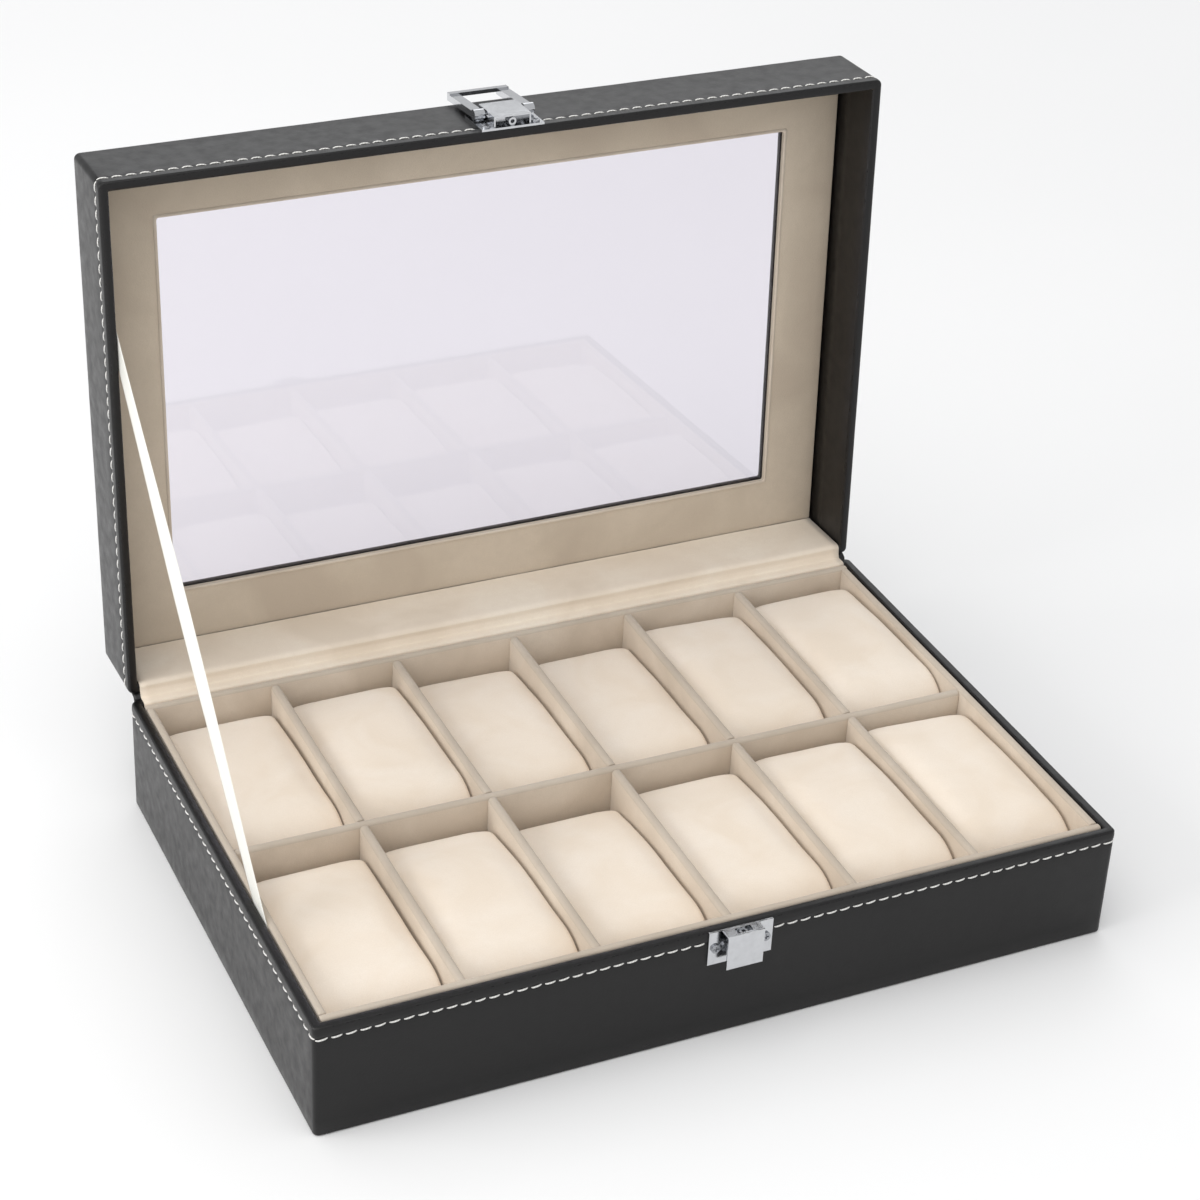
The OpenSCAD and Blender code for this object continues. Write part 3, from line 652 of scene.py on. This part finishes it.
PANEL_ROUND = 0.8
GLASS_Z = glass_lo[2]
panel_w, panel_d = lining_hi[0] - lining_lo[0], lining_hi[1] - lining_lo[1]
panel_z = lining_lo[2]
lap_w, lap_d = glass_hi[0] - glass_lo[0], glass_hi[1] - glass_lo[1]
rings = [(panel_w, panel_d, 0.5, TOP_BOARD_Z, 0.0), (panel_w, panel_d, 0.5, panel_z + 0.5, 0.0)]
rings += [(panel_w - play, panel_d - play, 0.5, panel_z + h, 0.0) for play, h in ((0.5, 0.1), (1.2, 0.0))]
for t in (0.2, 0.4, 0.6, 0.8):
    w, d = panel_w + (open_w + 2 - panel_w) * t, panel_d + (open_d + 2 - panel_d) * t
    rings.append((w, d, 0.8, panel_z, window_y * t))
for i, z in fillet(-PANEL_ROUND, panel_z + PANEL_ROUND, PANEL_ROUND, -90, 0, 4):
    rings.append((open_w - 2 * i, open_d - 2 * i, 0.8, min(z, GLASS_Z - 0.05), window_y))
rings += [(open_w, open_d, 0.8, GLASS_Z - 0.02, window_y)]
rings += [(lap_w + 0.4, lap_d + 0.4, 0.8, z, window_y) for z in (GLASS_Z - 0.02, TOP_BOARD_Z)]
points, faces = loft([ring(w, d, r, z, cy) for w, d, r, z, cy in rings])
points = np.array(points)
panel_n = len(points) // len(rings)
points[2 * panel_n:9 * panel_n, 2] += [0.12 * wander(p, 18, 9.0) for p in points[2 * panel_n:9 * panel_n]]
# The panel wears the lining's cloth painted darker: painted shade
piece("lid_panel", points, faces, PANEL, "lid", ["lid_lining"], True)

# How much wider than the opening the welt's section is, and its height above the panel, inside the lid
welt = [(0.1, 0.35), (0.2, -0.05), (0.6, -0.33), (1.2, -0.42), (1.9, -0.38), (2.5, -0.14), (2.8, 0.08), (2.9, 0.3)]
rings = [ring(open_w + w, open_d + w, 0.9, panel_z + z, window_y) for w, z in welt]
points, faces = loft(rings)
points = np.array(points)
points[:, 2] += [0.05 * wander(p, 7, 1.0) if p[2] < panel_z else 0.0 for p in points]
piece("window_welt", points, faces, LINING, "lid", ["window_bead"], True)


# Strips that cross the hinge


def strip(name, path, width, thick, material, replaces, waves, seed, steps=90):
    """A thin strip as wide as `width` in X that follows a path of (y, z) points, with its own thickness."""
    path = [Vector(p) for p in path]
    normals = []
    for i in range(len(path)):
        a, b = path[max(i - 1, 0)], path[min(i + 1, len(path) - 1)]
        t = (b - a).normalized()
        normals.append(Vector((-t.y, t.x)))
    points, faces = [], []
    for j in range(steps + 1):
        x = -width / 2 + width * j / steps
        for side in (1, -1):
            order = range(len(path)) if side == 1 else reversed(range(len(path)))
            for i in order:
                wave = waves * wander((x, 3 * i, 0), 22, seed)
                q = path[i] + normals[i] * (side * thick / 2 + wave)
                points.append((x, q.x, q.y))
    n = 2 * len(path)
    for j in range(steps):
        for i in range(n):
            k = (i + 1) % n
            faces.append((j * n + i, (j + 1) * n + i, (j + 1) * n + k, j * n + k))
    faces.append(tuple(range(n)))
    faces.append(tuple(steps * n + i for i in range(n)))
    return piece(name, points, faces, material, None, replaces)


def opened(y, z):
    """Where a (y, z) point of the closed lid is when the lid is open."""
    p = OPENED @ Vector((0, y * MM, z * MM))
    return (p.y / MM, p.z / MM)


def smooth_path(points, steps):
    """Catmull-Rom curve through (y, z) points."""
    pts = [Vector(points[0])] + [Vector(p) for p in points] + [Vector(points[-1])]
    out = []
    for i in range(1, len(pts) - 2):
        p0, p1, p2, p3 = pts[i - 1:i + 3]
        for k in range(steps):
            t = k / steps
            out.append(0.5 * (2 * p1 + (p2 - p0) * t + (2 * p0 - 5 * p1 + 4 * p2 - p3) * t * t
                              + (3 * p1 - p0 - 3 * p2 + p3) * t ** 3))
    out.append(pts[-2])
    return out


# The fabric strip climbs out of the tray, lies on both rims and lines the lid's rear wall
back_in = BOX_D / 2 - WALL
fabric_half = 0.25
on_rim, under_lid = RIM + fabric_half, LID_RIM - fabric_half
on_wall = back_in - fabric_half
lining_path = [(back_in - 0.18, RIM - 2.5), (back_in - 0.12, RIM - 0.4), (back_in + 0.5, on_rim + 0.08)]
lining_path += [(back_in + 2.0, on_rim + 0.1), (back_in + 3.2, on_rim + 0.1), (BOX_D / 2 + 0.55, RIM + 0.55)]
lining_path += [opened(BOX_D / 2 - 1.0, under_lid - 0.1), opened(BOX_D / 2 - 2.5, under_lid - 0.1)]
lining_path += [opened(back_in + 0.4, under_lid + 0.05), opened(on_wall - 0.1, LID_RIM + 1.2)]
lining_path += [opened(on_wall - 0.12, z) for z in np.linspace(LID_RIM + 5, panel_z - 1.5, 6)]
lining_path += [opened(on_wall - 0.3, panel_z - 0.35)]
back_w = box("lid_back_lining")[1][0] - box("lid_back_lining")[0][0]
# The strip wears the lining's cloth painted lighter: painted light
hinge_cloth = strip("hinge_fabric", smooth_path(lining_path, 5), back_w, 2 * fabric_half, LIT_LINING,
                    ["hinge_lining", "lid_back_lining"], 0.10, 2.5)
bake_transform(hinge_cloth)

# The leather spine behind it stops a little short of the sides
spine_half = 0.28
SPINE_IN = 1.6
spine_path = [(BOX_D / 2 + spine_half + 0.12, RIM - h) for h in (7.5, 5.0, 2.5, 0.9)]
spine_path += [(BOX_D / 2 + 0.75, RIM + 0.25)]
spine_path += [opened(BOX_D / 2 + spine_half + 0.12, LID_RIM + h) for h in (0.9, 2.5, 5.0, 7.5)]
spine = strip("hinge_leather", smooth_path(spine_path, 4), BOX_W - 2 * SPINE_IN, 2 * spine_half, LEATHERETTE,
              ["hinge_spine"], 0.05, 8.0)
store(spine, "worn", np.full(len(spine.data.vertices), 0.35))
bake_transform(spine)


# Satin ribbon, taut between the base's left slit and the lid's left wall, and turned a little halfway

ribbon_mesh = np.array([v.co for v in CAD["ribbon"].data.vertices]) / MM
ribbon_x = ribbon_mesh[:, 0].mean()
middle = ribbon_mesh[:, 1:].mean(0)
axes = np.linalg.svd(ribbon_mesh[:, 1:] - middle)[2]
run_dir = axes[0] if axes[0][1] > 0 else -axes[0]
cross_dir = np.array([-run_dir[1], run_dir[0]])
reach = (ribbon_mesh[:, 1:] - middle) @ run_dir
spread = (ribbon_mesh[:, 1:] - middle) @ cross_dir
ribbon_l, ribbon_w = reach.max() - reach.min(), spread.max() - spread.min()
points, faces, along_values, around_values = [], [], [], []
stations, lanes = 120, 10
TWIST = math.radians(-11)
for k in range(stations + 1):
    t = k / stations
    turn = TWIST * math.sin(math.pi * t) ** 2
    for side in (1, -1):
        for q in range(lanes + 1):
            u = (q / lanes - 0.5) * 2 * side
            narrow = 1 - 0.05 * math.sin(math.pi * t) + 0.006 * math.sin(37 * t)
            out = u * narrow * ribbon_w / 2
            c = middle + run_dir * (reach.min() + ribbon_l * t) + cross_dir * out * math.cos(turn)
            cup = 0.05 * math.sin(math.pi * t) * (u * u - 0.4)
            thick = side * 0.07 * (1.0 - 0.4 * u ** 8)
            points.append((ribbon_x + thick + cup - out * math.sin(turn), c[0], c[1]))
            along_values.append(t * ribbon_l / 0.7)
            around_values.append(u)
n = 2 * (lanes + 1)
for k in range(stations):
    for i in range(n):
        j = (i + 1) % n
        faces.append((k * n + i, (k + 1) * n + i, (k + 1) * n + j, k * n + j))
faces += [tuple(range(n)), tuple(stations * n + i for i in range(n))]
ribbon = piece("satin_ribbon", points, faces, SATIN, None, ["ribbon"])
store(ribbon, "along", along_values)
store(ribbon, "around", around_values)
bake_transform(ribbon)


# Pillows: a wrapped loaf with two end panels, blown up a little by a cloth simulation


def loaf(length, crown, back_drop, front_drop, count):
    """Evenly spaced (y, z) points round a pillow's section, highest in the middle, with a long round front."""
    front_y, front_z, back_y, back_z, foot_r = 19.0, 20.0, 8.0, 7.0, 4.0
    peak = length / 2

    def top(y):
        return crown - (back_drop if y > peak else front_drop) * ((y - peak) / peak) ** 2

    def arc(c, ry, rz, a0, a1):
        return [(c[0] + ry * math.cos(a), c[1] + rz * math.sin(a)) for a in np.radians(np.linspace(a0, a1, 24))]

    path = arc((foot_r, foot_r), foot_r, foot_r, 270, 180)
    path += arc((front_y, top(front_y) - front_z), front_y, front_z, 180, 91)
    path += [(y, top(y)) for y in np.linspace(front_y, length - back_y, 30)[1:-1]]
    path += arc((length - back_y, top(length - back_y) - back_z), back_y, back_z, 90, 0)
    path += arc((length - foot_r, foot_r), foot_r, foot_r, 0, -90)
    path = np.array(path + path[:1])
    run = np.concatenate([[0], np.cumsum(np.linalg.norm(np.diff(path, axis=0), axis=1))])
    at = np.linspace(0, run[-1], count, endpoint=False)
    return np.column_stack([np.interp(at, run, path[:, 0]), np.interp(at, run, path[:, 1])])


ROUND = 84


def pillow_form(length, width, crown, back_drop, front_drop):
    """The pillow before it is filled: rings along X with a round seam, then end panels closing to their middle."""
    count, across, seam = ROUND, 15, 1.5
    section = loaf(length, crown, back_drop, front_drop, count)
    h = crown - max(back_drop, front_drop)
    core = np.column_stack([np.clip(section[:, 0], h / 2, length - h / 2), np.full(count, h / 2)])
    away = section - core
    far = np.linalg.norm(away, axis=1, keepdims=True)
    flat = width / 2 - seam
    edge = [(flat + seam * math.sin(a), seam * (1 - math.cos(a))) for a in np.radians((0, 35, 65, 90))]
    panel = [(width / 2, v) for v in (4.5, 7.5, 10.5, 13.0)]
    half = edge + panel
    stations = [(-x, v) for x, v in reversed(half)]
    stations += [(x, 0.0) for x in np.linspace(-flat, flat, across)[1:-1]]
    stations += half
    points = []
    for x, v in stations:
        points += [(x, y, z) for y, z in core + away * np.clip(1 - v / far, 0.05, 1)]
    n, last = count, (len(stations) - 1) * count
    faces = []
    for s in range(len(stations) - 1):
        for k in range(n):
            a, b = s * n + k, s * n + (k + 1) % n
            faces.append((a, a + n, b + n, b))
    for start, x in ((0, -width / 2), (last, width / 2)):
        points.append((x, length / 2, h / 2))
        c = len(points) - 1
        for k in range(n):
            a, b = start + k, start + (k + 1) % n
            faces.append((a, b, c) if start == 0 else (b, a, c))
    seams = [s * n + k for s in (len(panel) + 2, len(stations) - len(panel) - 3) for k in range(n)]
    return np.array(points), faces, seams


SIM_SCALE = 10
SIM_FRAMES = 14
MAX_SWELL = 2.0


def inflate(obj, start):
    """Fills a pillow by a cloth simulation at SIM_SCALE times its size; returns each point's move in mm."""
    cloth = obj.modifiers.new("Cloth", "CLOTH")
    settings = cloth.settings
    settings.use_pressure = True
    settings.uniform_pressure_force = 1.6
    settings.mass = 0.05
    settings.tension_stiffness = settings.compression_stiffness = 15
    settings.shear_stiffness = 5
    settings.bending_stiffness = 0.6
    settings.quality = 5
    settings.effector_weights.gravity = 0
    cloth.point_cache.frame_start = 1
    cloth.point_cache.frame_end = SIM_FRAMES
    for f in range(1, SIM_FRAMES + 1):
        bpy.context.scene.frame_set(f)
    moved = obj.evaluated_get(bpy.context.evaluated_depsgraph_get())
    result = np.array([v.co for v in moved.data.vertices]) / (MM * SIM_SCALE)
    obj.modifiers.remove(cloth)
    bpy.context.scene.frame_set(1)
    return result - start


# Of each pillow: how far its crown lies below the dividers, how much lower it is at the back and at the front,
# its side tilt and its shift, in mm
SETTLE = [
    (3.9, 4.2, 0.6, 0.0, 0.3), (2.3, 4.0, 0.8, 0.3, 0.0), (5.4, 4.8, 0.2, -0.3, 0.1), (6.6, 3.0, 0.2, 0.4, 0.0),
    (1.9, 3.8, 2.0, -0.8, 0.2), (-0.3, 4.2, 0.8, 0.2, -0.4), (5.0, 3.4, 0.2, 0.4, 0.0),
    (2.6, 5.6, 0.2, -0.2, -0.6), (5.6, 6.4, 0.0, 0.5, -1.0), (3.4, 4.6, 0.8, 0.3, 0.0),
    (1.2, 3.6, 2.2, -0.2, -0.2), (0.4, 3.2, 3.2, -0.8, 0.4),
]
# Play at the sides and the ends before filling, height off the tray floor, lift by the filling, least gap to a
# divider, depth of the seam, and how many points on either side a fold is evened out over
SIDE_PLAY = 1.1
END_PLAY = 0.6
FLOOR_GAP = 0.25
SWELL_UP = 1.1
WALL_GAP = 0.4
SEAM_DEPTH = 0.15
EVEN_OUT = 5

walls = [box("liner_left")[1][0]]
for index in range(1, COLUMNS):
    lo, hi = box(f"divider_{index}")
    walls += [lo[0], hi[0]]
walls.append(box("liner_right")[0][0])


def filled(start, faces):
    """The pillow's points after filling, with its folds evened out and its swelling held back."""
    swell = np.zeros_like(start)
    mesh = bpy.data.meshes.new("form")
    mesh.from_pydata([tuple(p) for p in start * MM * SIM_SCALE], [], faces)
    form = bpy.data.objects.new("form", mesh)
    bpy.context.scene.collection.objects.link(form)
    swell = inflate(form, start)
    bpy.data.objects.remove(form)
    bpy.data.meshes.remove(mesh)
    folds = swell[:-2].reshape(-1, ROUND, 3)
    reach = range(-EVEN_OUT, EVEN_OUT + 1)
    swell[:-2] = (sum(np.roll(folds, k, 1) for k in reach) / len(reach)).reshape(-1, 3)
    far = np.linalg.norm(swell, axis=1, keepdims=True)
    return start + swell * (MAX_SWELL / (MAX_SWELL + far))


for index, (sink, back_drop, front_drop, tilt, shift) in enumerate(SETTLE):
    name = f"pillow_{index + 1}"
    lo, hi = box(name)
    column = index % COLUMNS
    cell_lo, cell_hi = walls[2 * column], walls[2 * column + 1]
    width, length = cell_hi - cell_lo - SIDE_PLAY, hi[1] - lo[1] - END_PLAY
    floor_z = lo[2] + FLOOR_GAP
    crown = cross_hi[2] - sink - SWELL_UP - floor_z
    start, faces, seams = pillow_form(length, width, crown, back_drop, front_drop)
    start[:, 2] += [0.22 * wander(p, 45, 3.3 * index) * min(p[2] / 10, 1) for p in start]
    start[:, 0] += [0.10 * wander(p, 40, 1.7 * index + 9) * (1 if p[0] > 0 else -1) for p in start]
    points = filled(start, faces)
    points[:, 2] = np.maximum(points[:, 2], 0)
    limit = (cell_hi - cell_lo) / 2 - WALL_GAP
    points[:, 0] = np.clip(points[:, 0], -limit, limit)
    points[seams, 0] *= 1 - SEAM_DEPTH / (width / 2)
    points[:, 2] += tilt * points[:, 0] / (width / 2) * np.clip(points[:, 2] / 20, 0, 1)
    points[:, 0] += (cell_lo + cell_hi) / 2
    points[:, 1] += lo[1] + (hi[1] - lo[1] - length) / 2 + shift
    points[:, 2] += floor_z
    obj = piece(name + "_cushion", points, faces, VELOUR, name, [name])
    smooth = obj.modifiers.new("Subdivision", "SUBSURF")
    smooth.levels = smooth.render_levels = 1


# Clasp: the pressed parts stay as CAD, with broken edges; the spring becomes a coil

for node, width in (("keeper_plate", 0.22), ("clasp_plate", 0.2), ("hasp", 0.55), ("keeper_screws", 0.15),
                    ("clasp_screws", 0.15), ("hinge_pin", 0.15), ("keeper_tube", 0.12), ("clasp_tube", 0.12)):
    bevel = CAD[node].modifiers.new("Broken edges", "BEVEL")
    bevel.width = width * MM
    bevel.segments = 3
    bevel.limit_method = "ANGLE"
    bevel.angle_limit = math.radians(40)
    bevel.harden_normals = True

spring_lo, spring_hi = box("clasp_spring", CLOSED)
pin_lo, pin_hi = box("hinge_pin", CLOSED)
axis_y, axis_z = (spring_lo[1] + spring_hi[1]) / 2, (spring_lo[2] + spring_hi[2]) / 2
coil_r = (spring_hi[2] - spring_lo[2]) / 2
wire = (coil_r - (pin_hi[2] - pin_lo[2]) / 2) / 2
turns = int((spring_hi[0] - spring_lo[0]) / (2.15 * wire))
points, faces = [], []
sides, per_turn = 6, 14
total = turns * per_turn
for k in range(total + 1):
    a = 2 * math.pi * k / per_turn
    x = spring_lo[0] + wire + (spring_hi[0] - spring_lo[0] - 2 * wire) * k / total
    for q in range(sides):
        b = 2 * math.pi * q / sides
        r = coil_r - wire + 0.96 * wire * math.cos(b)
        points.append((x + 0.96 * wire * math.sin(b), axis_y + r * math.cos(a), axis_z + r * math.sin(a)))
for k in range(total):
    for q in range(sides):
        j = (q + 1) % sides
        faces.append((k * sides + q, k * sides + j, (k + 1) * sides + j, (k + 1) * sides + q))
faces += [tuple(range(sides)), tuple(total * sides + q for q in range(sides))]
piece("coil_spring", points, faces, SHADED_STEEL, "hasp_slider", ["clasp_spring"], True)


# Materials of the CAD nodes that stay


def dress(nodes, material):
    for node in nodes:
        CAD[node].data.materials.clear()
        CAD[node].data.materials.append(material)


dress(["keeper_plate", "clasp_plate", "hasp", "keeper_tube", "clasp_tube"], CHROME)
# Screws and pin in the darker metal: painted shade round the screws
dress(["keeper_screws", "clasp_screws", "hinge_pin"], SHADED_STEEL)
dress(["glass_pane"], GLASS)
dress(["bottom_felt"], FELT)
dress([n for n in CAD if n.endswith("_board")], WOOD)


# Floor and light

floor_mesh = bpy.data.meshes.new("studio_floor")
floor_mesh.from_pydata([(-6, -6, 0), (6, -6, 0), (6, 6, 0), (-6, 6, 0)], [], [(0, 1, 2, 3)])
floor_mesh.materials.append(make_floor())
floor = bpy.data.objects.new("studio_floor", floor_mesh)
bpy.context.scene.collection.objects.link(floor)

world = bpy.data.worlds.new("studio")
bpy.context.scene.world = world
world.use_nodes = True
world.node_tree.nodes["Background"].inputs["Color"].default_value = (0.985, 0.99, 1.0, 1)
world.node_tree.nodes["Background"].inputs["Strength"].default_value = 0.68


def softbox(name, place, aim, size, power, colour):
    data = bpy.data.lights.new(name, "AREA")
    data.shape = "RECTANGLE"
    data.size, data.size_y = size
    data.energy = power
    data.color = colour
    light = bpy.data.objects.new(name, data)
    bpy.context.scene.collection.objects.link(light)
    light.location = place
    light.rotation_euler = (Vector(aim) - Vector(place)).to_track_quat("-Z", "Y").to_euler()


softbox("overhead", (-0.35, -0.25, 1.65), (0, 0, 0.05), (1.4, 1.2), 8.5, (1.0, 0.995, 0.985))
softbox("left", (-1.7, 0.1, 0.75), (0, 0, 0.1), (1.4, 1.0), 15, (1.0, 0.99, 0.975))
softbox("front", (-1.0, -1.4, 1.25), (0, 0, 0.12), (1.3, 1.0), 3.5, (1.0, 0.99, 0.98))
softbox("rear", (0.9, 1.9, 1.5), (0, 0, 0.15), (1.8, 1.0), 8, (0.98, 0.99, 1.0))
